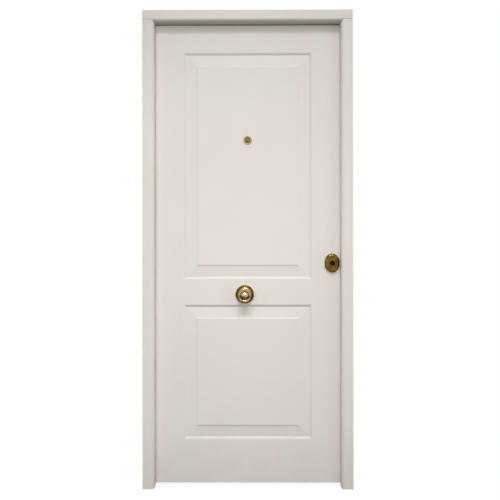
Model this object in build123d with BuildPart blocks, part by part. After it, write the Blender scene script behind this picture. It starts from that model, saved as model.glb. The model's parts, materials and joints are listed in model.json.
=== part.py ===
from build123d import *

import os

# A lacquered two-panel front door in its frame, with its lock and furniture, in millimetres.
# The outside faces -Y, the hinges are inside at -X, and the leaf opens towards +Y.
# The origin is on the floor, at the middle of the frame's width and of the leaf's thickness.

# Clearances
overrun = 2.0
slide_clearance = 0.3
seat_clearance = 0.1
pin_clearance = 0.05
knuckle_gap = 0.4

# Leaf
leaf_width = 830.0
leaf_height = 2030.0
floor_gap = 10.0
board_thickness = 10.0
sheet_thickness = 1.0
core_thickness = 28.0
hinge_stile_width = 70.0
lock_stile_width = 110.0
rail_height = 70.0

# Frame
frame_face = 51.0
stop_overlap = 8.0
rebate_gap = 4.0
reveal_depth = 48.0
seal_gap = 3.0
seal_setback = 0.6
seal_width = 7.0
nose_radius = 17.0
frame_edge_radius = 4.0

# Wall fixings, in two pairs up each jamb
fixing_radius = 4.5
fixing_head_radius = 9.0
fixing_head_depth = 12.0
fixing_spacing = 340.0
fixing_pair_height = 590.0
fixing_pair_rise = 870.0

# Corner screws, through the head into each jamb
corner_screw_radius = 3.0
corner_screw_head_radius = 6.0
corner_screw_length = 110.0
corner_screw_margin = 9.0
corner_screw_edge = 22.0

# Panels routed into both boards
panel_stile = 132.0
panel_top_rail = 132.0
panel_middle_rail = 113.0
panel_bottom_rail = 191.0
lower_panel_height = 594.0
mould_width = 63.0
mould_step = 10.0
mould_lip = 7.0
mould_depth = 6.0
mould_lip_depth = 2.6
mould_step_middle_shares = (0.56, 0.44)

# Hinges
hinge_height = 120.0
hinge_end_distance = 230.0
hinge_plate_thickness = 3.0
hinge_plate_width = 28.0
hinge_barrel_radius = 8.0
hinge_standoff = 1.0
hinge_knuckle_count = 3
hinge_pin_radius = 4.5
hinge_finial_radius = 7.0
hinge_finial_height = 5.0
hinge_screw_radius = 2.5
hinge_screw_head_radius = 5.0
hinge_screw_head_height = 2.5
hinge_screw_length = 34.0
hinge_screw_rows = 3
hinge_screw_pitch = 40.0
hinge_screw_setback = 16.0

# Fixed pins that stop the hinge edge being levered off
lever_pin_radius = 6.0
lever_pin_reach = 10.0
lever_pin_embed = 28.0
lever_pin_tip_radius = 2.0
lever_socket_radius = 8.5
lever_socket_wall = 2.0
lever_socket_depth = 14.0

# Lock case and forend
lock_backset = 43.0
lock_height = 979.0
lever_rise = 85.0
case_depth = 94.0
case_thickness = 20.0
case_wall = 1.5
case_below = 155.0
case_above = 140.0
forend_thickness = 3.0
forend_width = 22.0
forend_margin = 30.0
forend_screw_margin = 13.0
forend_screw_radius = 2.2
forend_screw_head_radius = 4.4
forend_screw_head_height = 2.2
forend_screw_length = 30.0

# Bolts and their carriage
bolt_radius = 8.0
bolt_count = 3
bolt_pitch = 35.0
bolt_drop = 99.0
bolt_inset = 0.5
bolt_throw = 20.0
bolt_length = 43.5
bolt_tip_radius = 1.5
carriage_width = 38.0
carriage_thickness = 8.0
carriage_margin = 4.0
carriage_post_radius = 2.5
carriage_post_setback = 11.0
carriage_finger_width = 6.0
carriage_finger_setback = 7.0
carriage_finger_gap = 0.6

# Latch and follower
latch_width = 12.0
latch_height = 22.0
latch_reach = 12.0
latch_body_length = 17.5
latch_nose_edge = 3.0
latch_tail_thickness = 6.0
latch_tail_bar = 6.0
latch_prong_width = 10.0
latch_prong_drop = 6.0
latch_arm_gap = 1.1
follower_radius = 10.0
follower_arm_reach = 17.9
follower_arm_width = 5.0
follower_arm_end_radius = 4.0
follower_arm_thickness = 6.0
spindle_size = 8.0
spindle_tail = 6.0
spindle_setback = 3.0
spring_strip = 0.8
spring_width = 6.0
spring_bend_radius = 3.0

# Cylinder, plug, cam, key shield and thumbturn
cylinder_radius = 8.5
cylinder_leg_width = 10.0
cylinder_leg_reach = 24.0
cylinder_overhang = 6.0
plug_radius = 6.5
plug_proud = 0.3
plug_slot_width = 2.6
plug_slot_height = 9.0
plug_slot_depth = 18.0
cam_radius = 15.0
cam_width = 9.0
cam_hub_radius = 7.6
cam_tooth_width = 9.0
cam_gap = 0.5
cylinder_screw_radius = 2.4
cylinder_screw_head_radius = 4.2
cylinder_screw_head_height = 2.0
cylinder_screw_drop = 19.0
shield_radius = 9.6
shield_thickness = 5.0
shield_eye_radius = 3.3
thumbturn_stem_radius = 5.0
thumbturn_grip_width = 11.0
thumbturn_grip_height = 32.0
thumbturn_grip_depth = 18.0
thumbturn_projection = 36.0
thumbturn_edge_radius = 3.0

# Escutcheons, outside and inside
escutcheon_half_width = 33.5
escutcheon_half_height = 42.0
escutcheon_height = 14.0
escutcheon_dome_radius = 11.0
escutcheon_bore_clearance = 0.6
escutcheon_notch_radius = 2.6
escutcheon_notch_rise = 10.4
escutcheon_screw_radius = 2.5
escutcheon_screw_head_radius = 4.8
escutcheon_screw_head_height = 2.5
escutcheon_screw_offset = 30.0
escutcheon_screw_engage = 4.0
inner_plate_height = 8.0
inner_plate_radius = 3.0

# Strike plate on the lock jamb
strike_thickness = 2.0
strike_width = 26.0
strike_margin = 34.0
strike_corner_radius = 4.0
strike_window_clearance = 2.0
strike_pocket_depth = 24.0
latch_pocket_depth = 16.0
strike_screw_margin = 12.0
strike_screw_radius = 2.2
strike_screw_head_radius = 4.2
strike_screw_head_height = 2.0
strike_screw_length = 32.0

# Fixed pull knob and its rosette
knob_x = -13.5
knob_height = 841.0
knob_projection = 58.0
knob_head_radius = 27.0
knob_head_back = 40.0
knob_head_front = 52.0
knob_neck_radius = 12.0
knob_swell = 2.0
knob_rim_width = 1.2
knob_dish_width = 6.5
knob_dish_depth = 4.5
rosette_radius = 41.0
rosette_edge_height = 4.0
rosette_roll_width = 9.0
rosette_hub_radius = 15.0
rosette_hub_height = 12.0
stud_radius = 5.0
stud_knob_depth = 22.0
anchor_flange_radius = 16.0
anchor_flange_thickness = 2.5
anchor_barrel_radius = 8.0
anchor_barrel_length = 16.0

# Peephole, its eyepiece and the swinging cover inside
peephole_x = 0.0
peephole_height = 1521.0
peephole_flange_radius = 19.5
peephole_flange_height = 4.5
peephole_flange_edge = 2.0
peephole_tube_radius = 13.0
peephole_tube_wall = 1.2
peephole_tube_length = 38.0
peephole_mouth_radius = 12.0
peephole_lens_radius = 8.5
peephole_lens_setback = 2.0
peephole_lens_thickness = 4.0
peephole_lens_bulge = 2.5
peephole_shoulder_width = 2.0
peephole_shoulder_depth = 2.0
eyepiece_flange_radius = 17.0
eyepiece_flange_height = 3.5
eyepiece_tube_length = 30.0
eyepiece_tube_wall = 1.5
eyepiece_eye_radius = 5.0
cover_thickness = 1.6
cover_radius = 12.0
cover_drop = 3.0
cover_gap = 0.4
cover_pivot_rise = 12.5
cover_pivot_radius = 1.6
cover_pivot_head_radius = 3.4
cover_pivot_head_height = 1.4
cover_ear_radius = 4.0

# Inside lever on its rosette
lever_projection = 58.0
lever_length = 118.0
lever_thickness = 13.0
lever_root_radius = 11.5
lever_end_radius = 8.5
lever_neck_radius = 9.0
lever_edge_radius = 4.0
lever_rosette_radius = 26.0
lever_rosette_height = 9.0
lever_rosette_edge = 3.0

# Places worked out from the sizes above
leaf_thickness = core_thickness + (board_thickness + sheet_thickness) * 2
leaf_half = leaf_width / 2
leaf_front = -leaf_thickness / 2
leaf_back = leaf_thickness / 2
leaf_bottom = floor_gap
leaf_top = floor_gap + leaf_height
leaf_middle = (leaf_bottom + leaf_top) / 2
core_front = -core_thickness / 2
core_back = core_thickness / 2
clear_half = leaf_half - stop_overlap
rebate_half = leaf_half + rebate_gap
frame_half = clear_half + frame_face
frame_front = leaf_front - reveal_depth
frame_back = leaf_back
frame_depth = frame_back - frame_front
stop_back = leaf_front - seal_gap
soffit = leaf_top - stop_overlap
head_rebate = leaf_top + rebate_gap
frame_top = soffit + frame_face
rebate_middle = (stop_back + frame_back) / 2
hinge_x = -(leaf_half + rebate_gap / 2)
hinge_y = leaf_back + hinge_standoff + hinge_barrel_radius
hinge_heights = {
    "bottom": leaf_bottom + hinge_end_distance,
    "middle": leaf_middle,
    "top": leaf_top - hinge_end_distance,
}
lever_pin_heights = [
    (hinge_heights["bottom"] + hinge_heights["middle"]) / 2,
    (hinge_heights["middle"] + hinge_heights["top"]) / 2,
]
fixing_heights = [
    fixing_pair_height + rise + offset
    for rise in (0, fixing_pair_rise)
    for offset in (-fixing_spacing / 2, fixing_spacing / 2)
]
panel_half = leaf_half - panel_stile
lower_panel = (leaf_bottom + panel_bottom_rail, leaf_bottom + panel_bottom_rail + lower_panel_height)
upper_panel = (lower_panel[1] + panel_middle_rail, leaf_top - panel_top_rail)
lock_x = leaf_half - lock_backset
lever_height = lock_height + lever_rise
forend_back = leaf_half - forend_thickness
case_back = forend_back - case_depth
case_bottom = lock_height - case_below
case_top = lock_height + case_above
case_half = case_thickness / 2
case_inner_half = case_half - case_wall
bolt_tip = leaf_half - bolt_inset
bolt_heights = [lock_height - bolt_drop + bolt_pitch * (n - (bolt_count - 1) / 2) for n in range(bolt_count)]
latch_axis = lever_height + follower_arm_reach
latch_top = latch_axis + latch_height / 2
latch_prong_foot = latch_axis - latch_prong_drop
latch_tip = leaf_half + latch_reach
latch_body_back = forend_back - latch_body_length
latch_prong_face = lock_x - follower_arm_end_radius - latch_arm_gap
latch_tail_end = latch_prong_face - latch_prong_width
cylinder_front = leaf_front - cylinder_overhang
cylinder_back = leaf_back + cylinder_overhang
screw_heights = (lock_height - escutcheon_screw_offset, lock_height + escutcheon_screw_offset)
through_length = frame_depth + lever_projection + overrun


def facing_out(x, z, y=leaf_front):
    """A plane upright in X and Z that looks outside."""
    return Plane(origin=(x, y, z), x_dir=(1, 0, 0), z_dir=(0, -1, 0))


def facing_in(x, z, y=leaf_back):
    """A plane upright in X and Z that looks inside the house."""
    return Plane(origin=(x, y, z), x_dir=(-1, 0, 0), z_dir=(0, 1, 0))


def facing_along(x, y, z, way):
    """A plane upright in Y and Z that looks along X, way being 1 or -1."""
    return Plane(origin=(x, y, z), x_dir=(0, 0, 1), z_dir=(way, 0, 0))


def turning(x, z, face, way):
    """A plane for turned profiles: local X is the radius and local Y runs off the face."""
    return Plane(origin=(x, face, z), x_dir=(1, 0, 0), z_dir=(0, 0, way))


def turning_axis(x, z):
    """The axis through the leaf that turned pieces share."""
    return Axis((x, 0, z), (0, 1, 0))


def bore_through(x, z, radius):
    """Drills the current piece right through along Y."""
    with Locations(facing_out(x, z, frame_front)):
        Hole(radius, through_length)


def cylinder_outline(clearance):
    """The pear-shaped outline of the lock cylinder, about its plug's axis, leg down."""
    with BuildSketch() as outline:
        Circle(cylinder_radius + clearance)
        with Locations((0, -(cylinder_leg_reach - cylinder_leg_width / 2) / 2)):
            Rectangle((cylinder_leg_width / 2 + clearance) * 2, cylinder_leg_reach - cylinder_leg_width / 2)
        with Locations((0, -(cylinder_leg_reach - cylinder_leg_width / 2))):
            Circle(cylinder_leg_width / 2 + clearance)
    return outline.sketch


def countersunk(planes, radius, head_radius, head_height, length):
    """One group of countersunk screws, each driven into the plane it sits on."""
    with BuildPart() as group:
        with Locations(*planes):
            Cylinder(radius, length, align=(Align.CENTER, Align.CENTER, Align.MAX))
            Cone(radius, head_radius, head_height, align=(Align.CENTER, Align.CENTER, Align.MAX))
    return group


os.makedirs("parts", exist_ok=True)


def keep(piece, name):
    """Labels a finished piece and writes its STEP file."""
    piece.part.label = name
    export_step(piece.part, f"parts/{name}.step")


def keep_glued(members, name):
    """Labels the members that are glued up into one piece and writes them to one STEP file."""
    export_step(Compound([member.part for member in members], label=name), f"parts/{name}.step")


# Frame members: each is a square post with a planted stop whose rounded nose is mitred at the corners
with BuildSketch() as stop_section:
    with Locations(((clear_half + frame_half) / 2, (frame_front + stop_back) / 2)):
        Rectangle(frame_face, stop_back - frame_front)
    front_corners = stop_section.vertices().group_by(Axis.Y)[0].sort_by(Axis.X)
    fillet(front_corners[0], nose_radius)
    fillet(front_corners[-1], frame_edge_radius)

corner_screw_spots = [
    (side * (frame_half - corner_screw_edge), depth)
    for side in (-1, 1)
    for depth in (stop_back + corner_screw_margin, frame_back - corner_screw_margin)
]
corner_screw_planes = [Plane((x, y, frame_top)) for x, y in corner_screw_spots]
corner_screw_head_height = corner_screw_head_radius - corner_screw_radius

strike_bottom = bolt_heights[0] - strike_margin
strike_top = latch_axis + strike_margin
strike_middle = (strike_bottom + strike_top) / 2
bolt_window_height = bolt_pitch * (bolt_count - 1) + (bolt_radius + strike_window_clearance) * 2
bolt_window_width = (bolt_radius + strike_window_clearance) * 2
bolt_window_middle = (bolt_heights[0] + bolt_heights[-1]) / 2
latch_window_width = latch_width + strike_window_clearance * 2
latch_window_height = latch_height + strike_window_clearance * 2
strike_screw_planes = [
    facing_along(rebate_half, 0, z, -1)
    for z in (strike_bottom + strike_screw_margin, strike_top - strike_screw_margin)
]

hinge_screw_offsets = [hinge_screw_pitch * (n - (hinge_screw_rows - 1) / 2) for n in range(hinge_screw_rows)]
hinge_screw_places = [
    (leaf_back - hinge_screw_setback, height + offset)
    for height in hinge_heights.values()
    for offset in hinge_screw_offsets
]
hinge_frame_screw_planes = [facing_along(-rebate_half, y, z, 1) for y, z in hinge_screw_places]
hinge_leaf_screw_planes = [facing_along(-leaf_half, y, z, -1) for y, z in hinge_screw_places]


def jamb_stop(side):
    """A jamb's planted stop, cut to the mitre at its top."""
    with BuildPart() as stop:
        with BuildSketch():
            add(stop_section.sketch if side > 0 else mirror(stop_section.sketch, Plane.YZ, mode=Mode.PRIVATE))
        extrude(amount=head_rebate)
        with BuildSketch(Plane.XZ):
            with BuildLine():
                Polyline(
                    (side * clear_half, soffit),
                    (side * rebate_half, head_rebate),
                    (side * clear_half, head_rebate),
                    close=True,
                )
            make_face()
        extrude(amount=frame_depth, both=True, mode=Mode.SUBTRACT)
    return stop


def jamb_post(side):
    """A jamb's post with the holes for its wall fixings and corner screws."""
    with BuildPart() as post:
        with BuildSketch():
            with Locations((side * (rebate_half + frame_half) / 2, rebate_middle)):
                Rectangle(frame_half - rebate_half, frame_back - stop_back)
        extrude(amount=head_rebate)
        with Locations(*[facing_along(side * rebate_half, rebate_middle, z, -side) for z in fixing_heights]):
            CounterBoreHole(fixing_radius, fixing_head_radius, fixing_head_depth, frame_face)
        with Locations(*[plane for plane in corner_screw_planes if plane.origin.X * side > 0]):
            Hole(corner_screw_radius + pin_clearance, corner_screw_length)
    return post


with BuildPart() as lock_post:
    add(jamb_post(1).part)
    with BuildSketch(facing_along(rebate_half, 0, strike_middle, 1)):
        RectangleRounded(strike_top - strike_bottom, strike_width, strike_corner_radius)
    extrude(amount=strike_thickness, mode=Mode.SUBTRACT)
    with BuildSketch(facing_along(rebate_half, 0, bolt_window_middle, 1)):
        Rectangle(bolt_window_height, bolt_window_width)
    extrude(amount=strike_pocket_depth, mode=Mode.SUBTRACT)
    with BuildSketch(facing_along(rebate_half, 0, latch_axis, 1)):
        Rectangle(latch_window_height, latch_window_width)
    extrude(amount=latch_pocket_depth, mode=Mode.SUBTRACT)
    with Locations(*strike_screw_planes):
        Hole(strike_screw_radius + pin_clearance, strike_screw_length)
keep_glued([lock_post, jamb_stop(1)], "lock_jamb")

with BuildPart() as hinge_post:
    add(jamb_post(-1).part)
    for height in hinge_heights.values():
        with BuildSketch(Plane.XY.offset(height - hinge_height / 2)):
            with Locations((-rebate_half - hinge_plate_thickness / 2, leaf_back - hinge_plate_width / 2)):
                Rectangle(hinge_plate_thickness, hinge_plate_width)
        extrude(amount=hinge_height, mode=Mode.SUBTRACT)
    with Locations(*hinge_frame_screw_planes):
        Hole(hinge_screw_radius + pin_clearance, hinge_screw_length)
    with Locations(*[facing_along(-rebate_half, 0, z, 1) for z in lever_pin_heights]):
        Hole(lever_socket_radius + lever_socket_wall + pin_clearance, lever_socket_depth)
keep_glued([hinge_post, jamb_stop(-1)], "hinge_jamb")

with BuildPart() as head_stop:
    with BuildSketch(Plane.YZ) as head_stop_section:
        with Locations(((frame_front + stop_back) / 2, (soffit + frame_top) / 2)):
            Rectangle(stop_back - frame_front, frame_face)
        front_edges = head_stop_section.vertices().group_by(Axis.X)[0].sort_by(Axis.Y)
        fillet(front_edges[0], nose_radius)
        fillet(front_edges[-1], frame_edge_radius)
    extrude(amount=frame_half, both=True)
    with BuildSketch(Plane.XZ):
        with BuildLine():
            Polyline(
                (clear_half, soffit),
                (rebate_half, head_rebate),
                (frame_half + overrun, head_rebate),
                (frame_half + overrun, soffit - overrun),
                (clear_half, soffit - overrun),
                close=True,
            )
        make_face()
        mirror(about=Plane.YZ)
    extrude(amount=frame_depth, both=True, mode=Mode.SUBTRACT)

with BuildPart() as head_beam:
    with BuildSketch(Plane.YZ):
        with Locations((rebate_middle, (head_rebate + frame_top) / 2)):
            Rectangle(frame_back - stop_back, frame_top - head_rebate)
    extrude(amount=frame_half, both=True)
    with Locations(*corner_screw_planes):
        CounterSinkHole(corner_screw_radius + pin_clearance, corner_screw_head_radius + pin_clearance)
keep_glued([head_beam, head_stop], "frame_head")

frame_corner_screws = countersunk(
    corner_screw_planes,
    corner_screw_radius,
    corner_screw_head_radius,
    corner_screw_head_height,
    corner_screw_length,
)
keep(frame_corner_screws, "frame_corner_screws")

# Rubber seal behind the stop, with a rounded lip towards the leaf
seal_near = clear_half + seal_setback
seal_far = seal_near + seal_width
seal_height = seal_gap - seat_clearance
seal_lip_radius = seal_height / 2
with BuildPart() as frame_seal:
    for side in (-1, 1):
        with BuildSketch(Plane.XY) as upright_section:
            with Locations((side * (seal_near + seal_far) / 2, stop_back + seal_height / 2)):
                Rectangle(seal_width, seal_height)
            lip = upright_section.vertices().group_by(Axis.Y)[-1]
            fillet(lip, seal_lip_radius)
        extrude(amount=soffit + seal_setback)
    with BuildSketch(Plane.YZ) as head_seal_section:
        with Locations((stop_back + seal_height / 2, soffit + seal_setback + seal_width / 2)):
            Rectangle(seal_height, seal_width)
        fillet(head_seal_section.vertices().group_by(Axis.X)[-1], seal_lip_radius)
    extrude(amount=seal_far, both=True)
keep(frame_seal, "frame_seal")

with BuildPart() as strike_plate:
    with BuildSketch(facing_along(rebate_half, 0, strike_middle, 1)):
        RectangleRounded(strike_top - strike_bottom, strike_width, strike_corner_radius)
        with Locations((bolt_window_middle - strike_middle, 0)):
            Rectangle(bolt_window_height, bolt_window_width, mode=Mode.SUBTRACT)
        with Locations((latch_axis - strike_middle, 0)):
            Rectangle(latch_window_height, latch_window_width, mode=Mode.SUBTRACT)
    extrude(amount=strike_thickness)
    with Locations(*strike_screw_planes):
        CounterSinkHole(strike_screw_radius + pin_clearance, strike_screw_head_radius + pin_clearance)
keep(strike_plate, "strike_plate")

strike_plate_screws = countersunk(
    strike_screw_planes,
    strike_screw_radius,
    strike_screw_head_radius,
    strike_screw_head_height,
    strike_screw_length,
)
keep(strike_plate_screws, "strike_plate_screws")

# Butt hinges: two frame knuckles, one leaf knuckle between them and a loose pin
knuckle_height = hinge_height / hinge_knuckle_count
frame_knuckles = (
    (-hinge_height / 2, -knuckle_height / 2 - knuckle_gap / 2),
    (knuckle_height / 2 + knuckle_gap / 2, hinge_height / 2),
)
leaf_knuckles = ((-knuckle_height / 2 + knuckle_gap / 2, knuckle_height / 2 - knuckle_gap / 2),)


def hinge_plate(height, plate_x, knuckles, screw_planes):
    """One hinge plate with its knuckles, bored for the pin and countersunk for its screws."""
    with BuildPart() as plate:
        with BuildSketch(Plane.XY.offset(height - hinge_height / 2)):
            with Locations((plate_x, leaf_back - hinge_plate_width / 2)):
                Rectangle(hinge_plate_thickness, hinge_plate_width)
        extrude(amount=hinge_height)
        for low, high in knuckles:
            with BuildSketch(Plane.XY.offset(height + low)):
                with Locations((hinge_x, hinge_y)):
                    Circle(hinge_barrel_radius)
                with Locations((plate_x, (leaf_back + hinge_y) / 2)):
                    Rectangle(hinge_plate_thickness, hinge_y - leaf_back)
            extrude(amount=high - low)
        with Locations((hinge_x, hinge_y, height + hinge_height / 2)):
            Hole(hinge_pin_radius + pin_clearance)
        with Locations(*[plane for plane in screw_planes if abs(plane.origin.Z - height) < hinge_height / 2]):
            CounterSinkHole(hinge_screw_radius + pin_clearance, hinge_screw_head_radius + pin_clearance)
    return plate


for place, height in hinge_heights.items():
    frame_plate = hinge_plate(
        height, -rebate_half - hinge_plate_thickness / 2, frame_knuckles, hinge_frame_screw_planes
    )
    keep(frame_plate, f"hinge_frame_plate_{place}")
    leaf_plate = hinge_plate(
        height, -leaf_half + hinge_plate_thickness / 2, leaf_knuckles, hinge_leaf_screw_planes
    )
    keep(leaf_plate, f"hinge_leaf_plate_{place}")
    with BuildPart() as hinge_pin:
        with BuildSketch(Plane.XY.offset(height - hinge_height / 2)):
            with Locations((hinge_x, hinge_y)):
                Circle(hinge_pin_radius)
        extrude(amount=hinge_height)
        for end, way in ((height + hinge_height / 2, 1), (height - hinge_height / 2, -1)):
            with BuildSketch(Plane((hinge_x, hinge_y, end), z_dir=(0, 0, way))):
                Circle(hinge_finial_radius)
            finial = extrude(amount=hinge_finial_height)
            fillet(finial.edges().sort_by(Axis.Z)[-1 if way > 0 else 0], hinge_finial_height / 2)
    keep(hinge_pin, f"hinge_pin_{place}")

for name, planes in (
    ("hinge_frame_screws", hinge_frame_screw_planes),
    ("hinge_leaf_screws", hinge_leaf_screw_planes),
):
    screws = countersunk(
        planes, hinge_screw_radius, hinge_screw_head_radius, hinge_screw_head_height, hinge_screw_length
    )
    keep(screws, name)

with BuildPart() as anti_lever_sockets:
    for z in lever_pin_heights:
        with BuildSketch(facing_along(-rebate_half, 0, z, -1)):
            Circle(lever_socket_radius + lever_socket_wall)
            Circle(lever_socket_radius, mode=Mode.SUBTRACT)
        extrude(amount=lever_socket_depth)
keep(anti_lever_sockets, "anti_lever_sockets")

with BuildPart() as anti_lever_pins:
    for z in lever_pin_heights:
        with BuildSketch(facing_along(-leaf_half + lever_pin_embed, 0, z, -1)):
            Circle(lever_pin_radius)
        extrude(amount=lever_pin_embed + lever_pin_reach)
    tips = anti_lever_pins.edges().filter_by(GeomType.CIRCLE).group_by(Axis.X)[0]
    fillet(tips, lever_pin_tip_radius)
keep(anti_lever_pins, "anti_lever_pins")


# Leaf: two routed boards, two steel sheets and a framed core
def moulded_board(face, way):
    """A board with both raised-field panels routed into its show face, which looks along way in Y."""
    with BuildPart() as board:
        with Locations((0, face - way * board_thickness / 2, leaf_middle)):
            Box(leaf_width, board_thickness, leaf_height)
        for low, high in (lower_panel, upper_panel):
            with BuildLine(facing_out(0, 0, face)) as route:
                Polyline(
                    (0, low),
                    (panel_half, low),
                    (panel_half, high),
                    (-panel_half, high),
                    (-panel_half, low),
                    close=True,
                )
            with BuildSketch(Plane(origin=(0, face, low), x_dir=(0, 0, 1), z_dir=(-way, 0, 0))):
                with BuildLine():
                    step_foot = (mould_step, -mould_depth)
                    lip_foot = (mould_width - mould_lip, -mould_lip_depth)
                    step_middle = (
                        mould_step * mould_step_middle_shares[0],
                        -mould_depth * mould_step_middle_shares[1],
                    )
                    ThreePointArc((0, 0), step_middle, step_foot)
                    Polyline(step_foot, lip_foot, (mould_width, 0), (mould_width, overrun))
                    Polyline((mould_width, overrun), (0, overrun), (0, 0))
                make_face()
            sweep(path=route.wire(), transition=Transition.RIGHT, mode=Mode.SUBTRACT)
    return board


hinge_recess_places = [
    (-leaf_half + hinge_plate_thickness / 2, leaf_back - hinge_plate_width / 2, height)
    for height in hinge_heights.values()
]
panel_hole_clearance = slide_clearance
spindle_hole_radius = spindle_size
screw_hole_radius = escutcheon_screw_radius + slide_clearance

with BuildPart() as outer_board:
    add(moulded_board(leaf_front, -1).part)
    bore_through(peephole_x, peephole_height, peephole_tube_radius + pin_clearance)
    bore_through(knob_x, knob_height, stud_radius + pin_clearance)
    for z in screw_heights:
        bore_through(lock_x, z, screw_hole_radius)
    with BuildSketch(facing_out(lock_x, lock_height)):
        add(cylinder_outline(panel_hole_clearance))
    extrude(amount=-board_thickness, mode=Mode.SUBTRACT)
keep(outer_board, "outer_board")

with BuildPart() as inner_board:
    add(moulded_board(leaf_back, 1).part)
    bore_through(peephole_x, peephole_height, peephole_tube_radius + pin_clearance)
    bore_through(lock_x, lever_height, spindle_hole_radius)
    for z in screw_heights:
        bore_through(lock_x, z, screw_hole_radius)
    with BuildSketch(facing_out(lock_x, lock_height, leaf_back)):
        add(cylinder_outline(panel_hole_clearance))
    extrude(amount=-board_thickness, both=True, mode=Mode.SUBTRACT)
    with Locations(*hinge_recess_places):
        Box(hinge_plate_thickness, hinge_plate_width, hinge_height, mode=Mode.SUBTRACT)
keep(inner_board, "inner_board")

for name, sheet_y, inside in (
    ("outer_steel_sheet", core_front - sheet_thickness / 2, False),
    ("inner_steel_sheet", core_back + sheet_thickness / 2, True),
):
    with BuildPart() as sheet:
        with Locations((0, sheet_y, leaf_middle)):
            Box(leaf_width, sheet_thickness, leaf_height)
        bore_through(peephole_x, peephole_height, peephole_tube_radius + pin_clearance)
        if inside:
            bore_through(lock_x, lever_height, spindle_hole_radius)
        else:
            bore_through(knob_x, knob_height, anchor_barrel_radius + pin_clearance)
        for z in screw_heights:
            bore_through(lock_x, z, screw_hole_radius)
        with BuildSketch(facing_out(lock_x, lock_height, sheet_y)):
            add(cylinder_outline(panel_hole_clearance))
        extrude(amount=sheet_thickness, both=True, mode=Mode.SUBTRACT)
        if inside:
            with Locations(*hinge_recess_places):
                Box(hinge_plate_thickness, hinge_plate_width, hinge_height, mode=Mode.SUBTRACT)
    keep(sheet, name)

with BuildPart() as hinge_stile:
    with Locations((-leaf_half + hinge_stile_width / 2, 0, leaf_middle)):
        Box(hinge_stile_width, core_thickness, leaf_height)
    with Locations(*hinge_recess_places):
        Box(hinge_plate_thickness, hinge_plate_width, hinge_height, mode=Mode.SUBTRACT)
    with Locations(*hinge_leaf_screw_planes):
        Hole(hinge_screw_radius + pin_clearance, hinge_screw_length)
    with Locations(*[facing_along(-leaf_half, 0, z, -1) for z in lever_pin_heights]):
        Hole(lever_pin_radius + pin_clearance, lever_pin_embed)
keep(hinge_stile, "hinge_stile")

case_middle_x = (case_back + forend_back) / 2
case_middle_z = (case_bottom + case_top) / 2
case_height = case_top - case_bottom
forend_bottom = case_bottom - forend_margin
forend_top = case_top + forend_margin
forend_middle = (forend_bottom + forend_top) / 2
forend_screw_planes = [
    facing_along(leaf_half, 0, z, 1)
    for z in (forend_bottom + forend_screw_margin, forend_top - forend_screw_margin)
]
cylinder_screw_plane = facing_along(leaf_half, 0, lock_height - cylinder_screw_drop, 1)
cylinder_screw_length = lock_backset

with BuildPart() as lock_stile:
    with Locations((leaf_half - lock_stile_width / 2, 0, leaf_middle)):
        Box(lock_stile_width, core_thickness, leaf_height)
    with Locations((case_middle_x, 0, case_middle_z)):
        Box(
            case_depth + seat_clearance * 2,
            case_thickness + seat_clearance * 2,
            case_height + seat_clearance * 2,
            mode=Mode.SUBTRACT,
        )
    with Locations((leaf_half - forend_thickness / 2, 0, forend_middle)):
        Box(forend_thickness, forend_width, forend_top - forend_bottom, mode=Mode.SUBTRACT)
    bore_through(lock_x, lever_height, spindle_hole_radius)
    for z in screw_heights:
        bore_through(lock_x, z, screw_hole_radius)
    with BuildSketch(facing_out(lock_x, lock_height, 0)):
        add(cylinder_outline(panel_hole_clearance))
    extrude(amount=core_thickness, both=True, mode=Mode.SUBTRACT)
    with Locations(*forend_screw_planes):
        Hole(forend_screw_radius + pin_clearance, forend_screw_length)
keep(lock_stile, "lock_stile")

core_left = -leaf_half + hinge_stile_width
core_right = leaf_half - lock_stile_width
core_middle_x = (core_left + core_right) / 2
for name, z in (("bottom_rail", leaf_bottom + rail_height / 2), ("top_rail", leaf_top - rail_height / 2)):
    with BuildPart() as rail:
        with Locations((core_middle_x, 0, z)):
            Box(core_right - core_left, core_thickness, rail_height)
    keep(rail, name)

with BuildPart() as core_board:
    with Locations((core_middle_x, 0, leaf_middle)):
        Box(core_right - core_left, core_thickness, leaf_height - rail_height * 2)
    bore_through(peephole_x, peephole_height, peephole_tube_radius + pin_clearance)
    with Locations(facing_out(knob_x, knob_height, core_front)):
        CounterBoreHole(
            anchor_barrel_radius + pin_clearance,
            anchor_flange_radius + seat_clearance,
            anchor_flange_thickness,
            anchor_barrel_length,
        )
keep(core_board, "core_board")

# Lock case: a tray with guide posts, its cover and the forend
front_openings = [(z, bolt_radius + slide_clearance) for z in bolt_heights]
carriage_back = bolt_tip - bolt_length - carriage_width
post_x = bolt_tip - bolt_length - carriage_post_setback
post_heights = [(low + high) / 2 for low, high in zip(bolt_heights, bolt_heights[1:])]


def case_side_holes():
    """Bores the current plate for the escutcheon screws and the follower's hub."""
    bore_through(lock_x, lever_height, follower_radius + pin_clearance)
    for z in screw_heights:
        bore_through(lock_x, z, screw_hole_radius)


def front_windows(x, thickness):
    """What to cut from the lock edge for the bolts, the latch and the cylinder screw to pass."""
    with BuildPart(mode=Mode.PRIVATE) as windows:
        with BuildSketch(facing_along(x, 0, 0, 1)):
            for z, radius in front_openings:
                with Locations((z, 0)):
                    Circle(radius)
            with Locations((latch_axis, 0)):
                Rectangle(latch_height + slide_clearance * 2, latch_width + slide_clearance * 2)
            with Locations((lock_height - cylinder_screw_drop, 0)):
                Circle(cylinder_screw_radius + pin_clearance)
        extrude(amount=thickness)
    return windows.part


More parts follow.
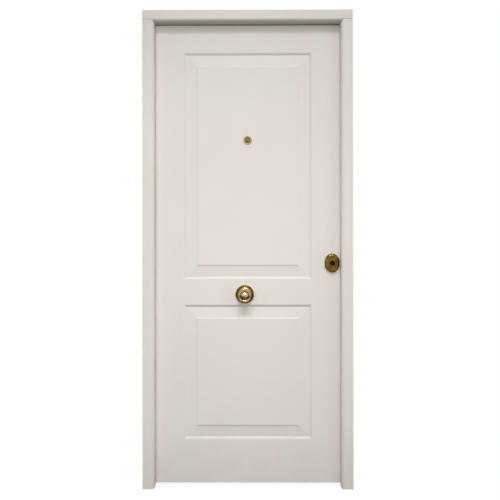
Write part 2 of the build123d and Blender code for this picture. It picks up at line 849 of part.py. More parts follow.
with BuildPart() as lock_case:
    with Locations((case_middle_x, -case_wall / 2, case_middle_z)):
        Box(case_depth, case_thickness - case_wall, case_height)
    with Locations((case_middle_x, 0, case_middle_z)):
        Box(
            case_depth - case_wall * 2,
            case_inner_half * 2,
            case_height - case_wall * 2,
            mode=Mode.SUBTRACT,
        )
    with BuildSketch(facing_in(post_x, lock_height, -case_inner_half)):
        with Locations(*[(0, z - lock_height) for z in post_heights]):
            Circle(carriage_post_radius)
    extrude(amount=case_inner_half * 2)
    add(front_windows(forend_back - case_wall, case_wall), mode=Mode.SUBTRACT)
    case_side_holes()
    with BuildSketch(facing_out(lock_x, lock_height, -case_half)):
        add(cylinder_outline(panel_hole_clearance))
    extrude(amount=-case_wall, mode=Mode.SUBTRACT)
keep(lock_case, "lock_case")

with BuildPart() as lock_case_cover:
    with Locations((case_middle_x, case_half - case_wall / 2, case_middle_z)):
        Box(case_depth, case_wall, case_height)
    case_side_holes()
    with BuildSketch(facing_out(lock_x, lock_height, case_half)):
        add(cylinder_outline(panel_hole_clearance))
    extrude(amount=case_wall, mode=Mode.SUBTRACT)
keep(lock_case_cover, "lock_case_cover")

with BuildPart() as lock_forend:
    with Locations((leaf_half - forend_thickness / 2, 0, forend_middle)):
        Box(forend_thickness, forend_width, forend_top - forend_bottom)
    add(front_windows(forend_back, forend_thickness), mode=Mode.SUBTRACT)
    with Locations(*forend_screw_planes):
        CounterSinkHole(forend_screw_radius + pin_clearance, forend_screw_head_radius + pin_clearance)
    with Locations(cylinder_screw_plane):
        CounterSinkHole(cylinder_screw_radius + pin_clearance, cylinder_screw_head_radius + pin_clearance)
keep(lock_forend, "lock_forend")

forend_screws = countersunk(
    forend_screw_planes,
    forend_screw_radius,
    forend_screw_head_radius,
    forend_screw_head_height,
    forend_screw_length,
)
keep(forend_screws, "forend_screws")

# Bolts on their carriage, which slides on the case's guide posts
with BuildPart() as lock_bolts:
    for z in bolt_heights:
        with BuildSketch(facing_along(bolt_tip - bolt_length, 0, z, 1)):
            Circle(bolt_radius)
        extrude(amount=bolt_length)
    fillet(lock_bolts.edges().filter_by(GeomType.CIRCLE).group_by(Axis.X)[-1], bolt_tip_radius)
keep(lock_bolts, "lock_bolts")

carriage_top = bolt_heights[-1] + bolt_radius + carriage_margin
carriage_bottom = bolt_heights[0] - bolt_radius - carriage_margin
finger_top = lock_height - cam_radius - carriage_finger_gap
finger_x = carriage_back + carriage_finger_setback + carriage_finger_width / 2
with BuildPart() as bolt_carriage:
    with BuildSketch(Plane.XZ):
        with Locations((carriage_back + carriage_width / 2, (carriage_bottom + carriage_top) / 2)):
            Rectangle(carriage_width, carriage_top - carriage_bottom)
        with Locations((finger_x, (carriage_top + finger_top) / 2)):
            Rectangle(carriage_finger_width, finger_top - carriage_top)
        with Locations(*[(post_x - bolt_throw / 2, z) for z in post_heights]):
            SlotCenterToCenter(
                bolt_throw, (carriage_post_radius + slide_clearance) * 2, mode=Mode.SUBTRACT
            )
    extrude(amount=carriage_thickness / 2, both=True)
keep(bolt_carriage, "bolt_carriage")

# Latch: a bevelled bolt whose hooked tail the follower's arm draws back
with BuildPart() as latch_bolt:
    with BuildSketch(Plane.XY.offset(latch_axis - latch_height / 2)):
        with BuildLine():
            Polyline(
                (latch_body_back, -latch_width / 2),
                (leaf_half, -latch_width / 2),
                (latch_tip, latch_width / 2 - latch_nose_edge),
                (latch_tip, latch_width / 2),
                (latch_body_back, latch_width / 2),
                close=True,
            )
        make_face()
    extrude(amount=latch_height)
    with BuildSketch(Plane.XZ):
        with Locations(((latch_tail_end + latch_body_back) / 2, latch_top - latch_tail_bar / 2)):
            Rectangle(latch_body_back - latch_tail_end, latch_tail_bar)
        with Locations((latch_tail_end + latch_prong_width / 2, (latch_prong_foot + latch_top) / 2)):
            Rectangle(latch_prong_width, latch_top - latch_prong_foot)
    extrude(amount=latch_tail_thickness / 2, both=True)
keep(latch_bolt, "latch_bolt")

# Hairpin spring between the case's back wall and the latch's tail
spring_back = case_back + case_wall
with BuildPart() as latch_spring:
    with BuildSketch(Plane.XZ):
        with BuildLine() as strip:
            FilletPolyline(
                (spring_back + spring_strip / 2, latch_axis + latch_height / 2),
                (spring_back + spring_strip / 2, latch_axis - latch_height / 2),
                (latch_tail_end - spring_strip, latch_axis),
                (latch_tail_end - spring_strip, latch_axis + latch_height / 2),
                radius=spring_bend_radius,
            )
        trace(line_width=spring_strip)
    extrude(amount=spring_width / 2, both=True)
keep(latch_spring, "latch_spring")

# Follower, spindle and the inside lever
with BuildPart() as lock_follower:
    with BuildSketch(Plane.XZ):
        with Locations((lock_x, lever_height)):
            Circle(follower_radius)
    extrude(amount=case_half, both=True)
    with BuildSketch(Plane.XZ):
        with Locations((lock_x, lever_height + follower_arm_reach / 2)):
            Rectangle(follower_arm_width, follower_arm_reach)
        with Locations((lock_x, latch_axis)):
            Circle(follower_arm_end_radius)
    extrude(amount=follower_arm_thickness / 2, both=True)
    with BuildSketch(Plane.XZ):
        with Locations((lock_x, lever_height)):
            Rectangle(spindle_size + seat_clearance, spindle_size + seat_clearance)
    extrude(amount=case_thickness, both=True, mode=Mode.SUBTRACT)
keep(lock_follower, "lock_follower")

lever_back = leaf_back + lever_projection - lever_thickness
spindle_end = lever_back - spindle_setback
with BuildPart() as lever_spindle:
    with BuildSketch(facing_in(lock_x, lever_height, -spindle_tail)):
        Rectangle(spindle_size, spindle_size)
    extrude(amount=spindle_end + spindle_tail)
keep(lever_spindle, "lever_spindle")

with BuildPart() as lever_handle:
    with BuildSketch(facing_in(lock_x, lever_height, lever_back)):
        with BuildLine():
            root = CenterArc((0, 0), lever_root_radius, 90, 180)
            end = CenterArc((lever_length, 0), lever_end_radius, -90, 180)
            Line(root @ 0, end @ 1)
            Line(root @ 1, end @ 0)
        make_face()
    extrude(amount=lever_thickness)
    fillet(lever_handle.faces().sort_by(Axis.Y)[-1].edges(), lever_edge_radius)
    fillet(lever_handle.faces().sort_by(Axis.Y)[0].edges(), lever_edge_radius)
    with BuildSketch(facing_in(lock_x, lever_height, leaf_back + lever_rosette_height)):
        Circle(lever_neck_radius)
    extrude(amount=lever_projection - lever_rosette_height - lever_thickness + lever_edge_radius)
    with BuildSketch(facing_in(lock_x, lever_height, leaf_back)):
        Rectangle(spindle_size + seat_clearance, spindle_size + seat_clearance)
    extrude(amount=spindle_end - leaf_back, mode=Mode.SUBTRACT)
keep(lever_handle, "lever_handle")

with BuildPart() as lever_rosette:
    with BuildSketch(facing_in(lock_x, lever_height)):
        Circle(lever_rosette_radius)
    extrude(amount=lever_rosette_height - slide_clearance)
    fillet(lever_rosette.faces().sort_by(Axis.Y)[-1].edges(), lever_rosette_edge)
    bore_through(lock_x, lever_height, spindle_hole_radius)
keep(lever_rosette, "lever_rosette")

# Lock cylinder, cut away in the middle for the cam
with BuildPart() as cylinder_body:
    with BuildSketch(facing_out(lock_x, lock_height, cylinder_back)):
        add(cylinder_outline(0))
    extrude(amount=cylinder_back - cylinder_front)
    bore_through(lock_x, lock_height, plug_radius + pin_clearance)
    with BuildSketch(Plane.XZ):
        with Locations((lock_x, lock_height)):
            Circle(cam_radius + cam_gap)
    extrude(amount=cam_width / 2 + cam_gap, both=True, mode=Mode.SUBTRACT)
    with Locations(cylinder_screw_plane):
        Hole(cylinder_screw_radius + pin_clearance, cylinder_screw_length)
keep(cylinder_body, "cylinder_body")

cylinder_screw = countersunk(
    [cylinder_screw_plane],
    cylinder_screw_radius,
    cylinder_screw_head_radius,
    cylinder_screw_head_height,
    cylinder_screw_length,
)
keep(cylinder_screw, "cylinder_screw")

plug_front = cylinder_front - plug_proud
plug_back = cylinder_back + plug_proud
with BuildPart() as cylinder_plug:
    with BuildSketch(facing_out(lock_x, lock_height, plug_back)):
        Circle(plug_radius)
    extrude(amount=plug_back - plug_front)
    with BuildSketch(facing_out(lock_x, lock_height, plug_front)):
        Rectangle(plug_slot_width, plug_slot_height)
    extrude(amount=-plug_slot_depth, mode=Mode.SUBTRACT)
keep(cylinder_plug, "cylinder_plug")

with BuildPart() as cylinder_cam:
    with BuildSketch(Plane.XZ):
        with Locations((lock_x, lock_height)):
            Circle(cam_hub_radius)
        with Locations((lock_x, lock_height - cam_radius / 2)):
            Rectangle(cam_tooth_width, cam_radius)
        with Locations((lock_x, lock_height)):
            Circle(cam_radius, mode=Mode.INTERSECT)
            Circle(plug_radius + pin_clearance, mode=Mode.SUBTRACT)
    extrude(amount=cam_width / 2, both=True)
keep(cylinder_cam, "cylinder_cam")

with BuildPart() as key_shield:
    with BuildSketch(facing_out(lock_x, lock_height, plug_front)):
        Circle(shield_radius)
        Circle(shield_eye_radius, mode=Mode.SUBTRACT)
        Rectangle(plug_slot_width, plug_slot_height, mode=Mode.SUBTRACT)
    extrude(amount=shield_thickness)
keep(key_shield, "key_shield")

with BuildPart() as thumbturn:
    with BuildSketch(facing_in(lock_x, lock_height, plug_back)):
        Circle(thumbturn_stem_radius)
    extrude(amount=leaf_back + thumbturn_projection - thumbturn_grip_depth - plug_back)
    with BuildSketch(facing_in(lock_x, lock_height, leaf_back + thumbturn_projection - thumbturn_grip_depth)):
        SlotOverall(thumbturn_grip_height, thumbturn_grip_width, rotation=90)
    extrude(amount=thumbturn_grip_depth)
    fillet(thumbturn.faces().sort_by(Axis.Y)[-1].edges(), thumbturn_edge_radius)
keep(thumbturn, "thumbturn")

# Oval escutcheons, joined through the leaf by two screws
with BuildPart() as outer_escutcheon:
    with BuildSketch(facing_out(lock_x, lock_height)):
        Ellipse(escutcheon_half_width, escutcheon_half_height)
    extrude(amount=escutcheon_height)
    fillet(outer_escutcheon.faces().sort_by(Axis.Y)[0].edges(), escutcheon_dome_radius)
    bore_through(lock_x, lock_height, shield_radius + escutcheon_bore_clearance)
    with BuildSketch(facing_out(lock_x, lock_height)):
        with Locations((0, escutcheon_notch_rise)):
            Circle(escutcheon_notch_radius)
    extrude(amount=escutcheon_height, mode=Mode.SUBTRACT)
    with BuildSketch(facing_out(lock_x, lock_height)):
        add(cylinder_outline(panel_hole_clearance))
    extrude(amount=cylinder_overhang + slide_clearance, mode=Mode.SUBTRACT)
    with Locations(*[facing_in(lock_x, z, leaf_front) for z in screw_heights]):
        Hole(escutcheon_screw_radius + pin_clearance, escutcheon_screw_engage)
keep(outer_escutcheon, "outer_escutcheon")

inner_screw_planes = [facing_in(lock_x, z, leaf_back + inner_plate_height) for z in screw_heights]
with BuildPart() as inner_escutcheon:
    with BuildSketch(facing_in(lock_x, lock_height)):
        Ellipse(escutcheon_half_width, escutcheon_half_height)
    extrude(amount=inner_plate_height)
    fillet(inner_escutcheon.faces().sort_by(Axis.Y)[-1].edges(), inner_plate_radius)
    with BuildSketch(facing_out(lock_x, lock_height, leaf_back)):
        add(cylinder_outline(panel_hole_clearance))
    extrude(amount=-inner_plate_height, mode=Mode.SUBTRACT)
    with Locations(*inner_screw_planes):
        CounterSinkHole(escutcheon_screw_radius + pin_clearance, escutcheon_screw_head_radius + pin_clearance)
keep(inner_escutcheon, "inner_escutcheon")

escutcheon_screws = countersunk(
    inner_screw_planes,
    escutcheon_screw_radius,
    escutcheon_screw_head_radius,
    escutcheon_screw_head_height,
    inner_plate_height + leaf_thickness + escutcheon_screw_engage,
)
keep(escutcheon_screws, "escutcheon_screws")

# Turned pull knob, its rosette, stud and the anchor nut let into the core
rosette_roll_foot = rosette_radius - rosette_roll_width
with BuildPart() as knob_rosette:
    with BuildSketch(turning(knob_x, knob_height, leaf_front, -1)):
        with BuildLine():
            roll_top = rosette_edge_height + rosette_roll_width / 2
            Polyline(
                (rosette_roll_foot, rosette_edge_height),
                (rosette_hub_radius, rosette_hub_height),
                (stud_radius + pin_clearance, rosette_hub_height),
                (stud_radius + pin_clearance, 0),
                (rosette_radius, 0),
                (rosette_radius, rosette_edge_height),
            )
            ThreePointArc(
                (rosette_radius, rosette_edge_height),
                (rosette_radius - rosette_roll_width / 2, roll_top),
                (rosette_roll_foot, rosette_edge_height),
            )
        make_face()
    revolve(axis=turning_axis(knob_x, knob_height))
keep(knob_rosette, "knob_rosette")

knob_rim_radius = knob_head_radius - knob_swell
knob_dish_radius = knob_rim_radius - knob_rim_width
knob_dome_radius = knob_dish_radius - knob_dish_width
knob_dish_bottom = knob_head_front - knob_dish_depth
with BuildPart() as door_knob:
    with BuildSketch(turning(knob_x, knob_height, leaf_front, -1)):
        with BuildLine():
            Line((0, rosette_hub_height), (knob_neck_radius, rosette_hub_height))
            neck_end = (knob_neck_radius, (rosette_hub_height + knob_head_back) / 2)
            Line((knob_neck_radius, rosette_hub_height), neck_end)
            TangentArc(neck_end, (knob_head_radius, knob_head_back), tangent=(0, 1))
            ThreePointArc(
                (knob_head_radius, knob_head_back),
                (knob_head_radius + knob_swell, (knob_head_back + knob_head_front) / 2),
                (knob_rim_radius, knob_head_front),
            )
            Line((knob_rim_radius, knob_head_front), (knob_dish_radius, knob_head_front))
            Line((knob_dish_radius, knob_head_front), (knob_dome_radius, knob_dish_bottom))
            TangentArc((0, knob_projection), (knob_dome_radius, knob_dish_bottom), tangent=(1, 0))
            Line((0, knob_projection), (0, rosette_hub_height))
        make_face()
    revolve(axis=turning_axis(knob_x, knob_height))
    with BuildSketch(facing_out(knob_x, knob_height, leaf_front - rosette_hub_height)):
        Circle(stud_radius + pin_clearance)
    extrude(amount=stud_knob_depth, mode=Mode.SUBTRACT)
keep(door_knob, "door_knob")

with BuildPart() as knob_stud:
    with BuildSketch(facing_out(knob_x, knob_height, core_front + anchor_barrel_length)):
        Circle(stud_radius)
    extrude(amount=anchor_barrel_length - leaf_front + core_front + rosette_hub_height + stud_knob_depth)
keep(knob_stud, "knob_stud")

with BuildPart() as knob_anchor:
    with BuildSketch(facing_out(knob_x, knob_height, core_front + anchor_flange_thickness)):
        Circle(anchor_flange_radius)
    extrude(amount=anchor_flange_thickness)
    with BuildSketch(facing_out(knob_x, knob_height, core_front + anchor_barrel_length)):
        Circle(anchor_barrel_radius)
    extrude(amount=anchor_barrel_length)
    with Locations(facing_out(knob_x, knob_height, core_front)):
        Hole(stud_radius + pin_clearance)
keep(knob_anchor, "knob_anchor")

# Peephole: barrel and lens from outside, eyepiece screwed in from inside, and a swinging cover
barrel_inner = peephole_tube_radius - peephole_tube_wall
lens_back = peephole_lens_setback + peephole_lens_thickness
with BuildPart() as peephole_barrel:
    with BuildSketch(turning(peephole_x, peephole_height, leaf_front, -1)):
        with BuildLine():
            flange = (peephole_flange_radius, 0)
            flange_edge = (peephole_flange_radius - peephole_flange_edge, peephole_flange_height)
            Polyline(
                flange_edge,
                (peephole_mouth_radius, peephole_flange_height),
                (peephole_lens_radius + seat_clearance, -peephole_lens_setback),
                (peephole_lens_radius + seat_clearance, -lens_back),
                (peephole_lens_radius - peephole_shoulder_width, -lens_back),
                (peephole_lens_radius - peephole_shoulder_width, -lens_back - peephole_shoulder_depth),
                (barrel_inner, -lens_back - peephole_shoulder_depth),
                (barrel_inner, -peephole_tube_length),
                (peephole_tube_radius, -peephole_tube_length),
                (peephole_tube_radius, 0),
                flange,
            )
            TangentArc(flange, flange_edge, tangent=(0, 1))
        make_face()
    revolve(axis=turning_axis(peephole_x, peephole_height))
keep(peephole_barrel, "peephole_barrel")

with BuildPart() as peephole_lens:
    with BuildSketch(turning(peephole_x, peephole_height, leaf_front, -1)):
        with BuildLine():
            lens_edge = (peephole_lens_radius, -peephole_lens_setback)
            lens_crown = (0, peephole_lens_bulge - peephole_lens_setback)
            TangentArc(lens_crown, lens_edge, tangent=(1, 0))
            Polyline(lens_edge, (peephole_lens_radius, -lens_back), (0, -lens_back), lens_crown)
        make_face()
    revolve(axis=turning_axis(peephole_x, peephole_height))
keep(peephole_lens, "peephole_lens")

eyepiece_tube_radius = barrel_inner - pin_clearance
pivot_z = peephole_height + cover_pivot_rise
with BuildPart() as peephole_eyepiece:
    with BuildSketch(facing_in(peephole_x, peephole_height)):
        Circle(eyepiece_flange_radius)
    extrude(amount=eyepiece_flange_height)
    fillet(peephole_eyepiece.faces().sort_by(Axis.Y)[-1].edges(), eyepiece_flange_height / 2)
    with BuildSketch(facing_out(peephole_x, peephole_height, leaf_back)):
        Circle(eyepiece_tube_radius)
    extrude(amount=eyepiece_tube_length)
    with BuildSketch(facing_out(peephole_x, peephole_height, leaf_back)):
        Circle(eyepiece_tube_radius - eyepiece_tube_wall)
    extrude(amount=eyepiece_tube_length, mode=Mode.SUBTRACT)
    bore_through(peephole_x, peephole_height, eyepiece_eye_radius)
    with Locations(facing_in(peephole_x, pivot_z, leaf_back + eyepiece_flange_height)):
        Hole(cover_pivot_radius + pin_clearance, eyepiece_flange_height)
keep(peephole_eyepiece, "peephole_eyepiece")

cover_back = leaf_back + eyepiece_flange_height + cover_gap
cover_front = cover_back + cover_thickness
with BuildPart() as peephole_pivot:
    with BuildSketch(facing_in(peephole_x, pivot_z, leaf_back)):
        Circle(cover_pivot_radius)
    extrude(amount=cover_front + cover_gap - leaf_back)
    with BuildSketch(facing_in(peephole_x, pivot_z, cover_front + cover_gap)):
        Circle(cover_pivot_head_radius)
    extrude(amount=cover_pivot_head_height)
keep(peephole_pivot, "peephole_pivot")

with BuildPart() as peephole_cover:
    with BuildSketch(facing_in(peephole_x, peephole_height, cover_back)):
        with Locations((0, -cover_drop)):
            Circle(cover_radius)
        with Locations((0, cover_pivot_rise)):
            Circle(cover_ear_radius)
        with Locations((0, cover_pivot_rise / 2)):
            Rectangle(cover_ear_radius * 2, cover_pivot_rise)
        with Locations((0, cover_pivot_rise)):
            Circle(cover_pivot_radius + pin_clearance, mode=Mode.SUBTRACT)
    extrude(amount=cover_thickness)
keep(peephole_cover, "peephole_cover")
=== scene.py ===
import json
import math

import bpy
from mathutils import Matrix, Vector


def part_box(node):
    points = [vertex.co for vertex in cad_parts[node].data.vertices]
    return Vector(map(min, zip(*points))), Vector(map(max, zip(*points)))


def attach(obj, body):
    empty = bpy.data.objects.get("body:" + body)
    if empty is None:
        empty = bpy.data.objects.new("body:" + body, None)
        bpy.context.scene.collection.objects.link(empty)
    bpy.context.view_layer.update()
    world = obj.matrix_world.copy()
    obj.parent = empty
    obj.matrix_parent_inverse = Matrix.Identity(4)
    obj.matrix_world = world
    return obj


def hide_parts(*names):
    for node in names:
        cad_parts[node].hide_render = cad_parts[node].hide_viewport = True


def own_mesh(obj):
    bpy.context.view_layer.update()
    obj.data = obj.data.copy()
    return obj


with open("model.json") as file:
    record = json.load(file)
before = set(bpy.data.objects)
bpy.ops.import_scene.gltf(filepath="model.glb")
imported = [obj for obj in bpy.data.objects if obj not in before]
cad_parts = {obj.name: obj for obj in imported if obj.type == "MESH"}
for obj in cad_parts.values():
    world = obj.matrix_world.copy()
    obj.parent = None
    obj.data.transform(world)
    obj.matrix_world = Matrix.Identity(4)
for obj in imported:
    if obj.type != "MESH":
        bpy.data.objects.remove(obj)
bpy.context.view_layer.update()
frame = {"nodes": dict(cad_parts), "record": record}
nodes = frame["nodes"]
slots = {part["node"]: part["material_slot"] for part in frame["record"]["subparts"]}

# Camera, fitted to the photograph's frame corners, panel edges and furniture
PHOTO_SIDE = 500
FOCAL_PIXELS = 640.7
OPTICAL_ROW = 214.6
SENSOR_WIDTH = 36.0
CAMERA_PLACE = (0.0267, -2.8565, 1.1862)
CAMERA_TURN = (90.131, 0.07, 0.337)

# Places of the furniture on the leaf, in metres, as (x, z)
KNOB_AXIS = (-0.0135, 0.841)
PEEPHOLE_AXIS = (0.0, 1.521)
LOCK_AXIS = (0.372, 0.979)
LEVER_AXIS = (0.372, 1.064)

# Frame joints: the head lies on the jambs, with a mitre across the stop's nose
HEAD_JOINT = 2.044
SOFFIT = 2.032
CLEAR_HALF = 0.407
REBATE_HALF = 0.419
OUTER_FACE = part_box("outer_board")[0].y


class Socket:
    """A shader value. Sums of sockets and numbers add the Math nodes that they need."""

    def __init__(self, finish, socket):
        self.finish = finish
        self.socket = socket

    def math(self, operation, first, second=0.0):
        return self.finish.node("ShaderNodeMath", {"operation": operation}, {0: first, 1: second})

    def __add__(self, other):
        return self.math("ADD", self, other)

    def __sub__(self, other):
        return self.math("SUBTRACT", self, other)

    def __rsub__(self, other):
        return self.math("SUBTRACT", other, self)

    def __mul__(self, other):
        return self.math("MULTIPLY", self, other)

    def __pow__(self, other):
        return self.math("POWER", self, other)

    def __abs__(self):
        return self.math("ABSOLUTE", self)

    __radd__ = __add__


class Finish:
    """The node tree of one finish."""

    def __init__(self, name):
        self.material = bpy.data.materials.new(name)
        self.material.use_nodes = True
        self.tree = self.material.node_tree
        self.tree.nodes.clear()

    def node(self, kind, settings=None, inputs=None, output=0):
        """Adds a node, sets it up, gives its sockets values or links, and returns one of its outputs."""
        made = self.tree.nodes.new(kind)
        for name, value in (settings or {}).items():
            setattr(made, name, value)
        for name, value in (inputs or {}).items():
            if isinstance(value, Socket):
                self.tree.links.new(value.socket, made.inputs[name])
            else:
                made.inputs[name].default_value = value
        return Socket(self, made.outputs[output])

    def spot(self):
        """The place on the piece, in metres."""
        return self.node("ShaderNodeTexCoord", output="Object")

    def split(self, vector):
        """The x, y and z of a vector, or the red, green and blue of a colour."""
        first = self.node("ShaderNodeSeparateXYZ", inputs={0: vector})
        return [Socket(self, socket) for socket in first.socket.node.outputs]

    def stretched(self, vector, scale):
        return self.node("ShaderNodeMapping", inputs={"Vector": vector, "Scale": scale})

    def noise(self, vector, scale, detail=2.0, roughness=0.5):
        return self.node(
            "ShaderNodeTexNoise",
            inputs={"Vector": vector, "Scale": scale, "Detail": detail, "Roughness": roughness},
        )

    def cells(self, vector, scale):
        """Small cells side by side, each with a level of its own between 0 and 1."""
        inputs = {"Vector": vector, "Scale": scale}
        return self.split(self.node("ShaderNodeTexVoronoi", inputs=inputs, output="Color"))[0]

    def rise(self, value, start, end):
        """0 up to the start and 1 beyond the end, smoothly, whichever of the two is greater."""
        return self.node(
            "ShaderNodeMapRange",
            {"interpolation_type": "SMOOTHSTEP"},
            {"Value": value, "From Min": start, "From Max": end},
        )

    def mix(self, share, first, second):
        return self.node("ShaderNodeMix", {"data_type": "RGBA"}, {0: share, 6: first, 7: second}, output=2)

    def bump(self, height, distance, strength, normal=None):
        inputs = {"Height": height, "Distance": distance, "Strength": strength}
        if normal:
            inputs["Normal"] = normal
        return self.node("ShaderNodeBump", inputs=inputs)

    def away_from(self, axis, vector):
        """The distance from an axis along Y, given by its x and z."""
        x, _, z = self.split(vector)
        across, up = x - axis[0], z - axis[1]
        return (across * across + up * up) ** 0.5

    def surface(self, shader):
        output = self.tree.nodes.new("ShaderNodeOutputMaterial")
        self.tree.links.new(shader.socket, output.inputs["Surface"])
        return self.material

    def principled(self, **sockets):
        inputs = {name.replace("_", " "): value for name, value in sockets.items()}
        return self.surface(self.node("ShaderNodeBsdfPrincipled", inputs=inputs))


# Lacquer colours
LACQUER = (0.741, 0.712, 0.663, 1)
LACQUER_SHADE = (0.708, 0.675, 0.623, 1)
LACQUER_GRIME = (0.50, 0.465, 0.405, 1)
SEAM_SHADOW = (0.20, 0.185, 0.16, 1)
# Painted shadow in the corner along the seal
SEAL_LINE_SHADE = (0.05, 0.046, 0.04, 1)
# Dust on ledges, which also serves as painted shade that dims their highlights
LEDGE_DUST_AND_SHADE = (0.52, 0.49, 0.44, 1)
# Painted shade on surfaces that face down
UNDERSIDE_SHADE_TONE = (0.36, 0.33, 0.28, 1)

# Where the lacquer is soiled or takes painted shade: heights and reaches in metres, tilts as the z of the
# surface's normal
FOOT_HEIGHT = 0.30
FOOT_GRIME = 0.35
HAND_REACH = (0.13, 0.05)
HAND_GRIME = 0.16
UNDERSIDE_SHADE_TILT = (-0.05, -0.7)
DUST_AND_SHADE_TILT = (0.15, 0.6)

# Painted shadow line along the seal: depth behind the outer face, drop below the soffit, reach past the
# clear opening
SKIN_DEPTH = (0.002, 0.001)
HEAD_SHADE_DROP = (0.0058, 0.0010)
LOCK_SIDE_SHADE_REACH = (0.001, 0.003)

# Joint lines of the frame, each from its soft edge to its full shadow
LEVEL_LINE = (0.0011, 0.0003)
MITRE_LINE = (0.0014, 0.0004)
NOSE_BLEND = 0.0005

# Surface of the lacquer
EDGE_ROUND = 0.0009
PEEL_DEPTH = 0.00016
GRAIN_STRETCH = (220.0, 220.0, 6.0)
# Shares of painted shade on undersides, for the leaf and for the frame
LEAF_UNDERSIDE_SHADE = 0.12
FRAME_UNDERSIDE_SHADE = 0.7
EDGE_GRAIN = 2.0


def soiled_and_shaded(finish, spot, tone, underside_shade_share):
    """Grime at the foot and round the furniture, painted shade on undersides, and ledges made dusty and
    darker with painted shade.
    """
    z = finish.split(spot)[2]
    grime = finish.rise(z, FOOT_HEIGHT, 0.0) * finish.noise(spot, scale=14.0, detail=5.0) * FOOT_GRIME
    for axis in (KNOB_AXIS, LOCK_AXIS):
        near = finish.rise(finish.away_from(axis, spot), *HAND_REACH)
        grime = near * finish.noise(spot, scale=30.0, detail=4.0) * HAND_GRIME + grime
    tone = finish.mix(grime, tone, LACQUER_GRIME)
    facing = finish.node("ShaderNodeNewGeometry", output="Normal")
    tilt = finish.split(facing)[2]
    # Painted shade: surfaces that face down are darkened
    tone = finish.mix(finish.rise(tilt, *UNDERSIDE_SHADE_TILT) * underside_shade_share, tone, UNDERSIDE_SHADE_TONE)
    dust_and_shade = finish.noise(spot, scale=60.0, detail=3.0) * 0.4 + 0.5
    # Surfaces that face up are darkened: dust, and painted shade that dims their highlights
    return finish.mix(finish.rise(tilt, *DUST_AND_SHADE_TILT) * dust_and_shade, tone, LEDGE_DUST_AND_SHADE)


def seal_line_shaded(finish, spot, tone):
    """A painted shadow line on the outer face along the seal, along the head and down the lock side."""
    x, y, z = finish.split(spot)
    at_face = finish.rise(y, *[OUTER_FACE + depth for depth in SKIN_DEPTH])
    at_head = finish.rise(z, *[SOFFIT - drop for drop in HEAD_SHADE_DROP])
    at_lock_side = finish.rise(x, *[CLEAR_HALF + past for past in LOCK_SIDE_SHADE_REACH])
    shade_patches = finish.noise(spot, scale=45.0, detail=3.0) * 0.3 + 0.75
    # Painted shadow: the outer face is darkened along the seal at the head and down the lock side
    return finish.mix((at_head + at_lock_side) * at_face * shade_patches, tone, SEAL_LINE_SHADE)


def jointed(finish, spot, tone):
    """Fine shadow lines where head and jambs meet, level on the face and mitred on the nose."""
    x, _, z = finish.split(spot)
    across = abs(x)
    on_face = finish.rise(across, REBATE_HALF - NOSE_BLEND, REBATE_HALF + NOSE_BLEND)
    level = finish.rise(abs(z - HEAD_JOINT), *LEVEL_LINE) * on_face
    off_mitre = abs(z - SOFFIT - across + CLEAR_HALF)
    mitre = finish.rise(off_mitre, *MITRE_LINE) * (1 - on_face)
    return finish.mix(level + mitre, tone, SEAM_SHADOW)


def lacquer(name, seams=False, seal_shaded=False, grain=0.0, underside_shade_share=LEAF_UNDERSIDE_SHADE):
    """Sprayed satin lacquer: slow drifts of tone, a fine peel and softened arrises."""
    finish = Finish(name)
    spot = finish.spot()
    drift = finish.rise(finish.noise(spot, scale=1.6, detail=4.0), 0.3, 0.75)
    tone = soiled_and_shaded(finish, spot, finish.mix(drift, LACQUER, LACQUER_SHADE), underside_shade_share)
    # The outer face takes a painted shadow line along the seal
    if seal_shaded:
        tone = seal_line_shaded(finish, spot, tone)
    if seams:
        tone = jointed(finish, spot, tone)
    height = finish.noise(spot, scale=520.0)
    if grain:
        strands = finish.noise(finish.stretched(spot, GRAIN_STRETCH), scale=1.0, detail=3.0)
        height = height + strands * grain
    soft = finish.node("ShaderNodeBevel", {"samples": 4}, {"Radius": EDGE_ROUND})
    return finish.principled(
        Base_Color=tone,
        Roughness=finish.noise(spot, scale=24.0, detail=3.0) * 0.14 + 0.40,
        Normal=finish.bump(height, PEEL_DEPTH, strength=0.6, normal=soft),
    )


# Brass colours, as (clean, tarnished)
KNOB_BRASS = ((0.56, 0.42, 0.18, 1), (0.25, 0.155, 0.04, 1))
ESCUTCHEON_BRASS = ((0.345, 0.235, 0.07, 1), (0.125, 0.066, 0.009, 1))
PEEPHOLE_BRASS = ((0.48, 0.40, 0.20, 1), (0.24, 0.17, 0.05, 1))
INDOOR_BRASS = ((0.62, 0.45, 0.18, 1), (0.32, 0.20, 0.05, 1))
# Painted reflection colour for the knob; the dirt colour also paints the dark reflection below the knob's
# dome
BRASS_PAINTED_REFLECTION = (0.58, 0.485, 0.32, 1)
BRASS_DIRT_AND_DARK_REFLECTION = (0.04, 0.022, 0.005, 1)

# Marks on turned brass, and the knob's painted reflections: radii from its axis and levels above its axis,
# in metres
KNOB_GROOVES = ((0.0160, 0.0186), (0.0345, 0.0405))
LENS_BORE = (0.0, 0.0105)
GROOVE_DIRT = 0.75
GROOVE_CORE = 0.3
# The knob's painted reflections: a pale one on its top half, a highlight crescent low on its dish, a dark
# one below the dome's middle
TOP_REFLECTION_LEVEL = (-0.0025, 0.0015)
TOP_REFLECTION_RADIUS = (0.029, 0.0232)
DISH_HIGHLIGHT_LEVEL = (-0.009, -0.016)
DISH_HIGHLIGHT_RADIUS = 0.0255
DISH_HIGHLIGHT_WIDTH = (0.0035, 0.0015)
DOME_DARK_REFLECTION_LEVEL = (-0.002, -0.005)
DOME_DARK_REFLECTION_RADIUS = (0.0165, 0.0140)
SCRATCH_STRETCH = (900.0, 900.0, 90.0)
TURNING_RINGS = 9000.0


